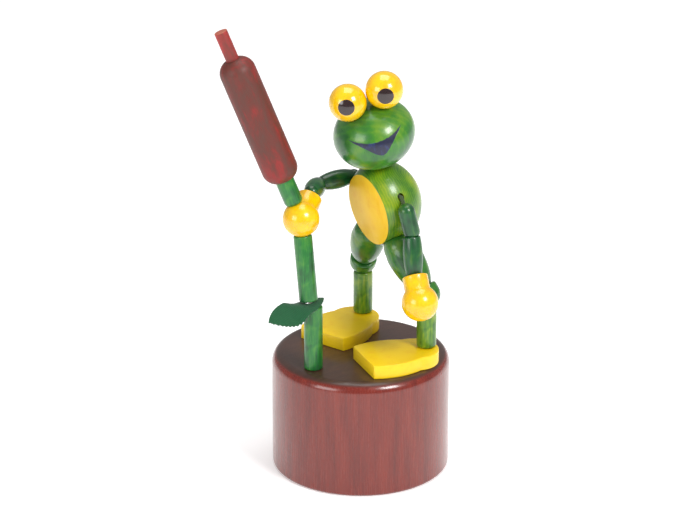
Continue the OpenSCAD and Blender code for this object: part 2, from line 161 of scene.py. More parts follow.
class Graph:
    """The node graph of one material, with a Principled shader as its surface."""

    def __init__(self, name: str) -> None:
        """Makes a material of that name."""
        self.material = bpy.data.materials.new(name)
        self.material.use_nodes = True
        self.tree = self.material.node_tree
        self.shader = self.tree.nodes["Principled BSDF"]

    def add(self, kind: str, settings: dict[str, Any] | None = None, values: Any = (), out: int = 0) -> Sock:
        """Adds one node.

        Args:
            kind: the node's type.
            settings: its settings, set before its inputs; "stops" are a ramp's.
            values: its inputs, in order, or by name; each is a number, a tuple or a Sock.
            out: which output is returned.

        Returns:
            The chosen output.
        """
        node = self.tree.nodes.new(kind)
        for key, value in (settings or {}).items():
            if key == "stops":
                self.fill_ramp(node, value)
            else:
                setattr(node, key, value)
        pairs = values.items() if isinstance(values, dict) else enumerate(values)
        for key, value in pairs:
            self.feed(node.inputs[key], value)
        return Sock(self, node.outputs[out])

    def feed(self, target: bpy.types.NodeSocket, value: Any) -> None:
        """Links a Sock to an input, or sets the input's own value."""
        if isinstance(value, Sock):
            self.tree.links.new(value.socket, target)
        elif value is not None:
            target.default_value = value

    @staticmethod
    def fill_ramp(node: bpy.types.Node, stops: Sequence[tuple[float, Colour]]) -> None:
        """Gives a colour ramp its stops."""
        ramp = node.color_ramp
        while len(ramp.elements) < len(stops):
            ramp.elements.new(0.5)
        for element, (place, colour) in zip(ramp.elements, stops):
            element.position = place
            element.color = colour

    def local(self, centre: Vector, turn: Matrix) -> Sock:
        """Object coordinates in millimetres, in a piece's own frame.

        Args:
            centre: the piece's centre, in metres.
            turn: the rotation from the piece's frame to the row's.

        Returns:
            The coordinates as a vector.
        """
        place = self.add("ShaderNodeTexCoord", out=3)
        settings = {"vector_type": "TEXTURE"}
        return self.add("ShaderNodeMapping", settings, [place, centre, turn.to_euler(), (MM, MM, MM)])

    def parts(self, vector: Sock) -> tuple[Sock, Sock, Sock]:
        """The three parts of a vector."""
        node = self.tree.nodes.new("ShaderNodeSeparateXYZ")
        self.feed(node.inputs[0], vector)
        return tuple(Sock(self, output) for output in node.outputs)

    def stretched(self, vector: Sock, scale: tuple[float, float, float]) -> Sock:
        """A vector with each part multiplied."""
        return self.add("ShaderNodeVectorMath", {"operation": "MULTIPLY"}, [vector, scale])

    def noise(self, vector: Sock, scale: float, detail: float = 3.0, rough: float = 0.55, bend: float = 0.0) -> Sock:
        """Noise between 0 and 1; scale is in bumps to a millimetre."""
        values = {"Vector": vector, "Scale": scale, "Detail": detail, "Roughness": rough, "Distortion": bend}
        return self.add("ShaderNodeTexNoise", {}, values)

    def ramp(self, value: Sock, stops: Sequence[tuple[float, Colour]]) -> Sock:
        """A colour that follows a value."""
        return self.add("ShaderNodeValToRGB", {"stops": stops}, [value])

    def mix(self, share: Any, first: Any, second: Any, blend: str = "MIX") -> Sock:
        """A mix of two colours: the first at a share of 0, the second at 1."""
        node = self.tree.nodes.new("ShaderNodeMix")
        node.data_type = "RGBA"
        node.blend_type = blend
        self.feed(node.inputs[0], share)
        self.feed(node.inputs[6], first)
        self.feed(node.inputs[7], second)
        return Sock(self, node.outputs[2])

    def bump(self, height: Sock, depth: float, strength: float = 0.5) -> Sock:
        """A normal pressed in by a height; depth is in metres."""
        values = {"Height": height, "Distance": depth, "Strength": strength}
        return self.add("ShaderNodeBump", {}, values)

    def dress(self, **inputs: Any) -> bpy.types.Material:
        """Feeds the Principled shader, by input names with underscores for spaces."""
        for name, value in inputs.items():
            self.feed(self.shader.inputs[name.replace("_", " ")], value)
        return self.material


# ---------------------------------------------------------------- finishes


@dataclass(frozen=True)
class Spot:
    """Where a piece is: its centre in metres and the turn from its own frame to the row's."""

    centre: Vector
    turn: Matrix = field(default_factory=lambda: Matrix.Identity(3))


class Finish:
    """A finish: what it feeds to the Principled shader of a piece."""

    def inputs(self, graph: Graph, place: Sock) -> Inputs:
        """The shader inputs, given the piece's own coordinates in millimetres."""
        raise NotImplementedError

    def make(self, name: str, spot: Spot) -> bpy.types.Material:
        """The finish on a piece at that spot."""
        graph = Graph(name)
        return graph.dress(**self.inputs(graph, graph.local(spot.centre, spot.turn)))


@dataclass(frozen=True)
class StainedWood(Finish):
    """Translucent stain on turned wood under varnish, with fibres along the piece's Z axis."""

    dark: Colour
    middle: Colour
    light: Colour
    ring_gap: float = 1.6
    ring_far: tuple[float, float] = (9.0, 14.0)
    ring_share: float = 0.35
    mottle: float = 0.16
    middle_at: float = 0.5
    fibre_share: float = 0.3
    rough: float = 0.34
    coat: float = 0.45
    grain_depth: float = 0.00005

    def colour(self, graph: Graph, place: Sock) -> tuple[Sock, Sock, Sock]:
        """The stain's colour, its fibres and its mottle."""
        cloud = graph.noise(place, self.mottle, 2.5, 0.5, 0.6)
        fibres = graph.noise(graph.stretched(place, (3.4, 3.4, 0.22)), 1.0, 4.0, 0.65)
        pores = graph.noise(graph.stretched(place, (6.5, 6.5, 0.7)), 1.0, 2.0, 0.5)
        x, y, _ = graph.parts(place)
        wander = graph.noise(graph.stretched(place, (0.22, 0.22, 0.08)), 1.0, 2.0) * 2.4
        far_x, far_y = self.ring_far
        radius = ((x - far_x) ** 2.0 + (y - far_y) ** 2.0) ** 0.5 + wander
        rings = (radius * (2 * math.pi / self.ring_gap)).sine()
        late = (rings * 0.5 + 0.5) ** 2.0
        stain = graph.ramp(
            (cloud - 0.5) * 1.5 + 0.5 + (late - 0.4) * self.ring_share + (fibres - 0.5) * self.fibre_share,
            [(0.22, self.dark), (self.middle_at, self.middle), (0.8, self.light)],
        )
        dark_pores = pores.step(0.34, 0.24)
        stain = graph.mix(dark_pores * 0.45, stain, self.dark)
        return stain, fibres, late

    def inputs(self, graph: Graph, place: Sock) -> Inputs:
        """The shader inputs of a piece."""
        stain, fibres, late = self.colour(graph, place)
        height = fibres * 0.8 + late * 0.3
        return dict(
            Base_Color=stain,
            Roughness=(fibres - 0.5) * 0.25 + self.rough,
            Normal=graph.bump(height, self.grain_depth, 0.6),
            Coat_Weight=self.coat,
            Coat_Roughness=0.16,
            Specular_IOR_Level=0.45,
        )


@dataclass(frozen=True)
class YellowLacquer(Finish):
    """Opaque yellow lacquer, thin enough in places for the wood's warmer tone to show."""

    bright: Colour = srgb(252, 204, 0)
    warm: Colour = srgb(244, 176, 4)
    thin: Colour = srgb(220, 128, 10)
    rough: float = 0.26
    coat: float = 0.6
    warmth: float = 0.5

    def inputs(self, graph: Graph, place: Sock) -> Inputs:
        """The shader inputs of a piece."""
        base, height = self.paint(graph, place)
        return dict(
            Base_Color=base,
            Roughness=(height - 0.5) * 0.2 + self.rough,
            Normal=graph.bump(height, 0.00004, 0.45),
            Coat_Weight=self.coat,
            Coat_Roughness=0.12,
        )

    def paint(self, graph: Graph, place: Sock) -> tuple[Sock, Sock]:
        """The paint's colour and its uneven height."""
        cloud = graph.noise(place, 0.22, 3.0, 0.6, 0.4)
        fibres = graph.noise(graph.stretched(place, (2.2, 2.2, 0.3)), 1.0, 3.0)
        tone = (cloud - 0.5) * 1.2 + (fibres - 0.5) * 0.5 + self.warmth
        base = graph.ramp(tone, [(0.35, self.bright), (0.78, self.warm), (1.0, self.thin)])
        return base, cloud * 0.5 + fibres * 0.5


@dataclass(frozen=True)
class EyePaint(YellowLacquer):
    """Yellow lacquer with a round painted pupil that looks along a direction."""

    pupil: Colour = srgb(44, 18, 20)
    pupil_edge: Colour = srgb(26, 10, 12)
    look: tuple[float, float, float] = (0.0, -1.0, 0.2)
    eye_r: float = 6.05
    pupil_r: float = 2.75

    def inputs(self, graph: Graph, place: Sock) -> Inputs:
        """The shader inputs of an eye."""
        base, height = self.paint(graph, place)
        aim = Vector(self.look).normalized() * self.eye_r
        away = graph.add("ShaderNodeVectorMath", {"operation": "DISTANCE"}, [place, tuple(aim)], out=1)
        wobble = graph.noise(place, 0.9, 2.0) * 0.16
        spot_mask = (away + wobble).step(self.pupil_r + 0.1, self.pupil_r - 0.05)
        brown = graph.mix(graph.noise(place, 1.4, 3.0), self.pupil, self.pupil_edge)
        return dict(
            Base_Color=graph.mix(spot_mask, base, brown),
            Roughness=(height - 0.5) * 0.15 + self.rough - 0.06,
            Normal=graph.bump(height * 0.4 + spot_mask * 0.6, 0.00005, 0.5),
            Coat_Weight=0.8,
            Coat_Roughness=0.08,
        )


@dataclass(frozen=True)
class FacePaint(StainedWood):
    """Green stain with a navy smile painted across the front; its lighter blue patches are a painted highlight."""

    navy: Colour = srgb(8, 14, 52)
    # A lighter blue for a painted highlight on the navy paint.
    navy_painted_highlight: Colour = srgb(28, 52, 112)
    mouth_z: float = 3.65
    mouth_half: float = 8.7
    curl: float = 0.018
    slant: float = 0.04
    lip: float = 1.7
    drop: float = 3.0
    drop_at: float = 0.2
    drop_w: float = 3.6

    def smile(self, graph: Graph, place: Sock) -> Sock:
        """The mask of the mouth, in the head's own frame.

        Args:
            graph: the material's graph.
            place: the head's own coordinates in millimetres.

        Returns:
            1 inside the painted mouth and 0 outside.
        """
        x, y, z = graph.parts(place)
        wobble = (graph.noise(place, 0.8, 3.0) - 0.5) * 0.5
        top = x * x * self.curl - x * self.slant + self.mouth_z
        off = (x - self.drop_at) / self.drop_w
        hump = (off * off * -1.0).exponent()
        span = 1.0 - (x / self.mouth_half) ** 2.0
        depth = span * self.lip + hump * self.drop
        inside = (top - z + wobble).step(-0.12, 0.12) * (z - top + depth + wobble).step(-0.12, 0.12)
        return inside * span.step(0.0, 0.04) * y.step(-2.0, -3.0)

    def inputs(self, graph: Graph, place: Sock) -> Inputs:
        """The shader inputs of a head."""
        stain, fibres, late = self.colour(graph, place)
        mouth = self.smile(graph, place)
        # The lighter blue patches on the mouth are a painted highlight, spread by noise.
        painted_highlight_share = graph.noise(graph.stretched(place, (0.7, 0.7, 0.3)), 1.0, 4.0).step(0.45, 0.72)
        paint = graph.mix(painted_highlight_share * 0.6, self.navy, self.navy_painted_highlight)
        return dict(
            Base_Color=graph.mix(mouth, stain, paint),
            Roughness=(fibres - 0.5) * 0.25 + self.rough + mouth * 0.08,
            Normal=graph.bump(fibres * 0.8 + late * 0.3 - mouth * 1.4, self.grain_depth, 0.6),
            Coat_Weight=self.coat,
            Coat_Roughness=0.15,
        )


@dataclass(frozen=True)
class DrumStain(Finish):
    """Red-brown stain on the drum's sides, grey-brown on its top, raw inside."""

    red: Colour = srgb(118, 34, 22)
    deep: Colour = srgb(84, 24, 18)
    bright: Colour = srgb(140, 48, 30)
    top: Colour = srgb(78, 48, 36)
    top_dark: Colour = srgb(52, 28, 22)
    raw: Colour = srgb(196, 160, 112)
    top_z: float = 38.9
    hollow_r: float = 24.6

    def inputs(self, graph: Graph, place: Sock) -> Inputs:
        """The shader inputs of a drum whose underside is."""
        x, y, z = graph.parts(place)
        radius = (x * x + y * y) ** 0.5
        streak = graph.noise(graph.stretched(place, (0.42, 0.42, 0.03)), 1.0, 4.0, 0.6, 0.3)
        fibres = graph.noise(graph.stretched(place, (2.6, 2.6, 0.12)), 1.0, 4.0, 0.6)
        side = graph.ramp(
            (streak - 0.5) * 0.9 + 0.5 + (fibres - 0.5) * 0.35,
            [(0.15, self.deep), (0.5, self.red), (0.9, self.bright)],
        )
        flat = graph.stretched(place, (0.9, 0.1, 0.9))
        top_fibres = graph.noise(flat, 1.0, 4.0, 0.6, 0.2)
        top = graph.mix((top_fibres - 0.5) * 1.4 + 0.45, self.top, self.top_dark)
        on_top = (z + (streak - 0.5) * 0.5).step(self.top_z - 0.9, self.top_z)
        body = graph.mix(on_top, side, top)
        inner = radius.step(self.hollow_r + 0.3, self.hollow_r) * z.step(36.0, 34.0)
        base = graph.mix(inner * 0.85, body, graph.mix(fibres, self.raw, self.red))
        return dict(
            Base_Color=base,
            Roughness=(fibres - 0.5) * 0.2 + 0.26 + on_top * 0.16 + inner * 0.3,
            Normal=graph.bump(fibres * 0.7 + streak * 0.3, 0.00006, 0.5),
            Coat_Weight=0.55 - inner * 0.5 - on_top * 0.15,
            Coat_Roughness=0.14,
        )


@dataclass(frozen=True)
class RushStain(Finish):
    """Matt brown-red stain with brighter red rubbed through along the fibres."""

    brown: Colour = srgb(104, 42, 32)
    grey: Colour = srgb(88, 50, 40)
    red: Colour = srgb(142, 32, 28)
    end_wood: Colour = srgb(198, 142, 108)
    end_z: float = 1000.0

    def inputs(self, graph: Graph, place: Sock) -> Inputs:
        """The shader inputs of a rod whose foot is."""
        _, _, z = graph.parts(place)
        cloud = graph.noise(graph.stretched(place, (0.3, 0.3, 0.1)), 1.0, 4.0, 0.65, 0.5)
        fibres = graph.noise(graph.stretched(place, (3.2, 3.2, 0.5)), 1.0, 4.0, 0.7)
        tone = (cloud - 0.5) * 1.6 + 0.5 + (fibres - 0.5) * 0.6
        stain = graph.ramp(tone, [(0.2, self.grey), (0.48, self.brown), (0.8, self.red)])
        cut = z.step(self.end_z - 0.15, self.end_z)
        base = graph.mix(cut * 0.75, stain, graph.mix(fibres, self.end_wood, self.red))
        return dict(
            Base_Color=base,
            Roughness=(fibres - 0.5) * 0.3 + 0.56,
            Normal=graph.bump(fibres, 0.00009, 0.7),
            Coat_Weight=0.12,
            Coat_Roughness=0.35,
        )


@dataclass(frozen=True)
class BareBirch(Finish):
    """Bare turned birch, as the button's disc is left."""

    pale: Colour = srgb(222, 190, 140)
    tan: Colour = srgb(190, 148, 96)

    def inputs(self, graph: Graph, place: Sock) -> Inputs:
        """The shader inputs of a disc."""
        fibres = graph.noise(graph.stretched(place, (0.08, 1.5, 1.5)), 1.0, 4.0, 0.6, 0.3)
        pores = graph.noise(graph.stretched(place, (0.5, 5.0, 5.0)), 1.0, 2.0)
        base = graph.mix(fibres, self.pale, self.tan)
        base = graph.mix(pores.step(0.34, 0.24) * 0.5, base, srgb(140, 100, 62))
        return dict(
            Base_Color=base, Roughness=(fibres - 0.5) * 0.2 + 0.6, Normal=graph.bump(fibres, 0.00008, 0.6)
        )


@dataclass(frozen=True)
class SpringSteel(Finish):
    """Drawn spring wire with faint die marks."""

    steel: Colour = srgb(176, 178, 182)
    dull: Colour = srgb(120, 120, 124)

    def inputs(self, graph: Graph, place: Sock) -> Inputs:
        """The shader inputs of a spring."""
        marks = graph.noise(graph.stretched(place, (0.6, 0.6, 4.0)), 1.0, 3.0)
        return dict(
            Base_Color=graph.mix(marks, self.steel, self.dull),
            Metallic=1.0,
            Roughness=(marks - 0.5) * 0.25 + 0.32,
            Normal=graph.bump(marks, 0.00002, 0.4),
        )


@dataclass(frozen=True)
class BraidedCord(Finish):
    """White braided cord: two slanted sets of strands that cross."""

    pale: Colour = srgb(238, 234, 222)
    shade: Colour = srgb(176, 168, 150)
    strand_pitch: float = 9.0
    strand_turn: float = 12.566

    def inputs(self, graph: Graph, place: Sock) -> Inputs:
        """The shader inputs of a cord; the braid follows the cord's own UV map."""
        uv = graph.add("ShaderNodeUVMap", {"uv_map": "cord"})
        along, around, _ = graph.parts(uv)
        run, turn = along * self.strand_pitch, around * self.strand_turn
        first, second = (run + turn).sine(), (run - turn).sine()
        strands = first.maths("MAXIMUM", first, second) * 0.5 + 0.5
        fuzz = graph.noise(place, 5.0, 3.0)
        return dict(
            Base_Color=graph.mix(strands * 0.8 + fuzz * 0.2, self.shade, self.pale),
            Roughness=(fuzz - 0.5) * 0.2 + 0.85,
            Normal=graph.bump(strands + fuzz * 0.3, 0.00008, 0.7),
            Sheen_Weight=0.3,
        )


@dataclass(frozen=True)
class WoundKnot(Finish):
    """White cord wound round itself."""

    pale: Colour = srgb(238, 234, 222)
    shade: Colour = srgb(168, 158, 138)

    def inputs(self, graph: Graph, place: Sock) -> Inputs:
        """The shader inputs of a knot."""
        x, y, z = graph.parts(place)
        strands = ((x + y * 0.7 + z * 1.3) * 7.0).sine() * 0.5 + 0.5
        fuzz = graph.noise(place, 4.0, 3.0)
        return dict(
            Base_Color=graph.mix(strands * 0.7 + fuzz * 0.3, self.shade, self.pale),
            Roughness=(fuzz - 0.5) * 0.2 + 0.85,
            Normal=graph.bump(strands + fuzz * 0.3, 0.0001, 0.7),
            Sheen_Weight=0.3,
        )


@dataclass(frozen=True)
class RibbedFelt(Finish):
    """Dark green felt with fine ribs pressed across the leaf."""

    green: Colour = srgb(14, 104, 56)
    deep: Colour = srgb(4, 60, 34)
    rib_gap: float = 0.42

    def inputs(self, graph: Graph, place: Sock) -> Inputs:
        """The shader inputs of a leaf whose rib runs along X."""
        uv = graph.add("ShaderNodeUVMap", {"uv_map": "cloth"})
        along, _, _ = graph.parts(uv)
        fuzz = graph.noise(place, 3.5, 4.0, 0.7)
        turns = along * (2 * math.pi / self.rib_gap) + fuzz * 1.2
        ribs = turns.sine() * 0.5 + 0.5
        cloud = graph.noise(place, 0.4, 3.0)
        base = graph.mix(ribs * 0.45 + fuzz * 0.4 + cloud * 0.25 - 0.05, self.deep, self.green)
        return dict(
            Base_Color=base,
            Roughness=(fuzz - 0.5) * 0.15 + 0.88,
            Normal=graph.bump(ribs * 0.7 + fuzz * 0.6, 0.00012, 0.8),
            Sheen_Weight=0.25,
            Sheen_Roughness=0.5,
        )


# ---------------------------------------------------------------- turning and joining


def joint_at(name: str) -> Vector:
    """The place of a hinge, in metres."""
    for joint in frame["joints"]:
        if joint["name"] == name:
            return Vector(joint["pos_m"])
    raise KeyError(name)


def arc(centre: tuple[float, float], radius: float, start: float, end: float, steps: int = 10) -> Outline:
    """Points on an arc of an outline.

    Args:
        centre: the arc's centre, as distance from the axis and height.
        radius: the arc's radius.
        start, end: angles in degrees, from the outward direction towards +Z.
        steps: how many spans it has.

    Returns:
        The points, from start to end.
    """
    angles = [math.radians(start + (end - start) * step / steps) for step in range(steps + 1)]
    return [(centre[0] + radius * math.cos(a), centre[1] + radius * math.sin(a)) for a in angles]


def dished(outer: Outline, centre_z: float, radius: float, hole_r: float, at_top: bool) -> Outline:
    """Cuts the dish of a ball into one end of an outline.

    Args:
        outer: the outline, from its foot to its top.
        centre_z: the height of the ball's centre, on the axis.
        radius: the dish's radius.
        hole_r: the radius of the cord hole, where the dish ends.
        at_top: True for the top end, False for the foot.

    Returns:
        The outline with its dish, from foot to top.
    """
    points = list(outer) if at_top else list(reversed(outer))

    def gap(point: tuple[float, float]) -> float:
        """How far a point lies outside the ball."""
        return math.hypot(point[0], point[1] - centre_z) - radius

    kept = [points[0]]
    for point in points[1:]:
        if gap(point) < 0:
            out, into = kept[-1], point
            for _ in range(30):
                middle = ((out[0] + into[0]) / 2, (out[1] + into[1]) / 2)
                out, into = (middle, into) if gap(middle) > 0 else (out, middle)
            kept.append(out)
            break
        kept.append(point)
    side = -1 if at_top else 1
    start = math.degrees(math.acos(min(kept[-1][0] / radius, 1.0)))
    end = math.degrees(math.acos(hole_r / radius))
    kept += arc((0.0, centre_z), radius, side * start, side * end, 10)[1:]
    return kept if at_top else list(reversed(kept))


def rod(length: float, diameter: float, hole_r: float, edge: float) -> Outline:
    """The outline of a rod with rounded edges and a hole, from foot to top."""
    r = diameter / 2
    foot = [(hole_r, 0.0)] + arc((r - edge, edge), edge, -90, 0, 6)
    top = arc((r - edge, length - edge), edge, 0, 90, 6) + [(hole_r, length)]
    return foot + top


def mesh_piece(name: str, build: bmesh.types.BMesh, smooth: float = SMOOTH_ANGLE) -> bpy.types.Object:
    """Makes an object of a bmesh whose points are in metres in the row's frame, and frees it."""
    bmesh.ops.remove_doubles(build, verts=build.verts, dist=1e-7)
    bmesh.ops.recalc_face_normals(build, faces=build.faces)
    mesh = bpy.data.meshes.new(name)
    build.to_mesh(mesh)
    build.free()
    mesh.shade_smooth()
    mesh.set_sharp_from_angle(angle=smooth)
    piece = bpy.data.objects.new(name, mesh)
    bpy.context.collection.objects.link(piece)
    return piece


def soften(build: bmesh.types.BMesh, width: float, angle: float = 40.0) -> None:
    """Rounds the sharp edges of a bmesh.

    Args:
        build: the bmesh.
        width: the rounding's width, in the bmesh's own units.
        angle: edges sharper than this many degrees are rounded.
    """
    limit = math.radians(angle)
    sharp = [e for e in build.edges if len(e.link_faces) == 2 and e.calc_face_angle(0.0) > limit]
    bmesh.ops.bevel(
        build, geom=sharp, offset=width, segments=3, profile=0.5, affect="EDGES", material=-1, clamp_overlap=True
    )


def spun(outline: Outline, segments: int) -> bmesh.types.BMesh:
    """Turns an outline round Z.

    Args:
        outline: the outline in millimetres; it closes through its hole unless it starts on the axis.
        segments: how many steps go round.

    Returns:
        The bmesh, in millimetres in the piece's own frame.
    """
    build = bmesh.new()
    points = [build.verts.new((r, 0.0, z)) for r, z in outline]
    edges = [build.edges.new(pair) for pair in zip(points, points[1:])]
    if outline[0][0] > 0:
        edges.append(build.edges.new((points[-1], points[0])))
    bmesh.ops.spin(
        build, geom=points + edges, cent=(0, 0, 0), axis=(0, 0, 1), dvec=(0, 0, 0),
        angle=2 * math.pi, steps=segments, use_merge=True, use_duplicate=False,
    )
    bmesh.ops.remove_doubles(build, verts=build.verts, dist=1e-5)
    bmesh.ops.recalc_face_normals(build, faces=build.faces)
    return build


def toward(foot: Vector, head: Vector) -> Spot:
    """The spot of a piece that stands at one point and points at another."""
    return Spot(foot, (head - foot).to_track_quat("Z", "Y").to_matrix())


def placed(build: bmesh.types.BMesh, spot: Spot) -> bmesh.types.BMesh:
    """Moves a bmesh from millimetres in its own frame to metres in the row's."""
    matrix = Matrix.Translation(spot.centre) @ spot.turn.to_4x4() @ Matrix.Scale(MM, 4)
    bmesh.ops.transform(build, matrix=matrix, verts=build.verts)
    return build


def carve(piece: bpy.types.Object, tools: Sequence[bmesh.types.BMesh]) -> None:
    """Cuts tool shapes out of a piece and drops the tools.

    Args:
        piece: the piece to cut.
        tools: closed bmeshes in metres in the row's frame.
    """
    for number, build in enumerate(tools):
        tool = mesh_piece(f"{piece.name}_tool_{number}", build)
        cut = piece.modifiers.new("cut", "BOOLEAN")
        cut.operation = "DIFFERENCE"
        cut.solver = "EXACT"
        cut.object = tool
        depsgraph = bpy.context.evaluated_depsgraph_get()
        done = bpy.data.meshes.new_from_object(piece.evaluated_get(depsgraph))
        piece.modifiers.clear()
        piece.data = done
        bpy.data.objects.remove(tool)
    piece.data.shade_smooth()
    piece.data.set_sharp_from_angle(angle=SMOOTH_ANGLE)


def drill(start: Vector, end: Vector, diameter: float) -> bmesh.types.BMesh:
    """A round cutting tool between two points, its diameter in millimetres."""
    build = bmesh.new()
    length = (end - start).length
    bmesh.ops.create_cone(
        build, cap_ends=True, segments=40, radius1=diameter * MM / 2, radius2=diameter * MM / 2, depth=length
    )
    turn = (end - start).to_track_quat("Z", "Y").to_matrix().to_4x4()
    bmesh.ops.transform(build, matrix=Matrix.Translation((start + end) / 2) @ turn, verts=build.verts)
    return build


def settle(
    piece: bpy.types.Object, body: str, materials: Sequence[bpy.types.Material], nodes: Sequence[str] = ()
) -> bpy.types.Object:
    """Dresses a piece and ties it to the model.

    Args:
        piece: the finished piece.
        body: the body that it moves with.
        materials: its materials, in slot order.
        nodes: the CAD nodes that it stands for.

    Returns:
        The piece.
    """
    piece.data.materials.clear()
    for material in materials:
        piece.data.materials.append(material)
    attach(piece, body)
    if nodes:
        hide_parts(*nodes)
    LOG.info("%s rides on %s, %d faces", piece.name, body, len(piece.data.polygons))
    return piece


def tube(name: str, points: Sequence[Vector], diameter: float, sides: int = 16) -> bpy.types.Object:
    """A round cord along a route, with a UV map of millimetres along it and turns round it.

    Args:
        name: the piece's name.
        points: the route, in metres.
        diameter: the cord's diameter in millimetres.
        sides: how many sides it has.

    Returns:
        The piece.
    """
    route: list[Vector] = []
    for start, end in zip(points, points[1:]):
        count = max(2, int((end - start).length / (0.8 * MM)))
        route += [start.lerp(end, i / count) for i in range(count)]
    route.append(points[-1])
    build = bmesh.new()
    ring_of = build.verts.layers.int.new("ring")
    side_of = build.verts.layers.int.new("side")
    ring = bmesh.ops.create_circle(build, cap_ends=False, segments=sides, radius=diameter * MM / 2)["verts"]
    for side, vert in enumerate(ring):
        vert[side_of] = side
    flat = [vert.co.copy() for vert in ring]
    travelled = [0.0]
    for number, point in enumerate(route):
        if number:
            edges = [e for e in build.edges if all(v[ring_of] == number - 1 for v in e.verts)]
            made = bmesh.ops.extrude_edge_only(build, edges=edges)["geom"]
            ring = [item for item in made if isinstance(item, bmesh.types.BMVert)]
            travelled.append(travelled[-1] + (point - route[number - 1]).length / MM)
        before, after = route[max(number - 1, 0)], route[min(number + 1, len(route) - 1)]
        turn = (after - before).to_track_quat("Z", "Y").to_matrix()
        for vert in ring:
            vert[ring_of] = number
            vert.co = point + turn @ flat[vert[side_of]]
    uv = build.loops.layers.uv.new("cord")
    for face in build.faces:
        wraps = {v[side_of] for v in face.verts} == {0, sides - 1}
        for loop in face.loops:
            side = sides if wraps and loop.vert[side_of] == 0 else loop.vert[side_of]
            loop[uv].uv = (travelled[loop.vert[ring_of]], side / sides)
    bmesh.ops.holes_fill(build, edges=[e for e in build.edges if e.is_boundary], sides=sides)
    return mesh_piece(name, build, math.radians(60))


# ---------------------------------------------------------------- the object's colours


class Stain(Enum):
    """The green stains, from the leanest to the deepest."""

    LIME = StainedWood(
        srgb(48, 104, 26), srgb(92, 140, 18), srgb(146, 168, 16), middle_at=0.48, ring_gap=0.8, ring_share=0.16,
        mottle=0.09, fibre_share=0.35,
    )
    SHIN = StainedWood(
        srgb(40, 92, 24), srgb(84, 132, 24), srgb(138, 158, 30), fibre_share=0.7, ring_share=0.12, mottle=0.2
    )
    LEG = StainedWood(
        srgb(18, 74, 34), srgb(44, 112, 30), srgb(98, 136, 26), middle_at=0.5, ring_share=0.12, mottle=0.12
    )
    HEAD = StainedWood(
        srgb(26, 94, 38), srgb(56, 126, 28), srgb(104, 148, 28), middle_at=0.48, ring_share=0.1, mottle=0.1
    )
    STEM = StainedWood(
        srgb(10, 78, 36), srgb(26, 116, 42), srgb(70, 140, 44), fibre_share=0.75, ring_share=0.1, rough=0.38
    )
    ARM = StainedWood(
        srgb(8, 58, 30), srgb(20, 88, 40), srgb(72, 116, 36), middle_at=0.52, ring_share=0.15, mottle=0.14
    )


YELLOW = YellowLacquer()
BELLY = YellowLacquer(
    bright=srgb(242, 196, 22), warm=srgb(236, 180, 24), thin=srgb(214, 150, 30), rough=0.55, coat=0.1, warmth=0.4
)
FOOT_PAINT = YellowLacquer(
    bright=srgb(250, 210, 6), warm=srgb(244, 194, 12), thin=srgb(222, 158, 18), rough=0.45, coat=0.2, warmth=0.35
)


# ---------------------------------------------------------------- the object's pieces


def carried(node: str) -> bmesh.types.BMesh:
    """A closed copy of a CAD node, in metres, with its flat faces joined."""
    build = bmesh.new()
    build.from_mesh(frame["nodes"][node].data)
    bmesh.ops.remove_doubles(build, verts=build.verts, dist=2e-6)
    bmesh.ops.dissolve_degenerate(build, edges=build.edges, dist=1e-6)
    bmesh.ops.recalc_face_normals(build, faces=build.faces)
    return build


def turned(degrees_x: float, degrees_z: float = 0.0) -> Matrix:
    """A turn about Z and then about X."""
    about_x = Matrix.Rotation(math.radians(degrees_x), 3, "X")
    return about_x @ Matrix.Rotation(math.radians(degrees_z), 3, "Z")


@dataclass(frozen=True)
class Turned:
    """One turned piece that stands for a CAD node of the same name.

    Attributes:
        node: the CAD node.
        body: the body that it rides on.
        slot: the record's material slot.
        finish: its finish.
        spot: its own frame.
    """

    node: str
    body: str
    slot: str
    finish: Any
    spot: Spot

    def shape(self) -> bmesh.types.BMesh:
        """The piece's mesh, in metres in the row's frame."""
        return carried(self.node)

    def build(self) -> bpy.types.Object:
        """Makes, dresses and ties the piece."""
        piece = mesh_piece(f"turned_{self.node}", self.shape())
        material = self.finish.make(f"{self.slot}_{self.node}", self.spot)
        return settle(piece, self.body, [material], [self.node])


@dataclass(frozen=True)
class Lathed(Turned):
    """A turned piece made afresh from its outline, finer than its CAD node."""

    outline: tuple[tuple[float, float], ...] = ()
    segments: int = 96

    def shape(self) -> bmesh.types.BMesh:
        """The outline turned round the spot's axis."""
        return placed(spun(list(self.outline), self.segments), self.spot)


@dataclass(frozen=True)
class Drum:
    """The hollow turned drum with its cord holes."""

    diameter: float = 58.0
    height: float = 39.4
    hollow_d: float = 48.4
    ceiling: float = 31.4
    top_round: float = 3.7
    foot_round: float = 1.2
    hole_d: float = 2.4
    holes: tuple[tuple[float, float], ...] = ((18.63, 12.8), (-16.77, 12.8), (3.42, -21.09))

    def outline(self) -> Outline:
        """The drum's outline, closed round the hollow."""
        r, inner = self.diameter / 2, self.hollow_d / 2
        points = [(0.0, self.ceiling), (inner - 0.6, self.ceiling), (inner, self.ceiling - 0.6)]
        points += [(inner, 0.5), (inner + 0.5, 0.0)]
        points += arc((r - self.foot_round, self.foot_round), self.foot_round, -90, 0, 8)
        points += arc((r - self.top_round, self.height - self.top_round), self.top_round, 0, 90, 16)
        return points + [(0.0, self.height)]

    def build(self) -> bpy.types.Object:
        """Makes, dresses and ties the drum."""
        spot = Spot(Vector((0, 0, 0)))
        piece = mesh_piece("turned_base_drum", placed(spun(self.outline(), 144), spot))
        tools = [
            drill(Vector((x, y, self.ceiling - 2)) * MM, Vector((x, y, self.height + 2)) * MM, self.hole_d)
            for x, y in self.holes
        ]
        carve(piece, tools)
        material = DrumStain().make("red_brown_stain_drum", spot)
        return settle(piece, "base", [material], ["base_drum"])


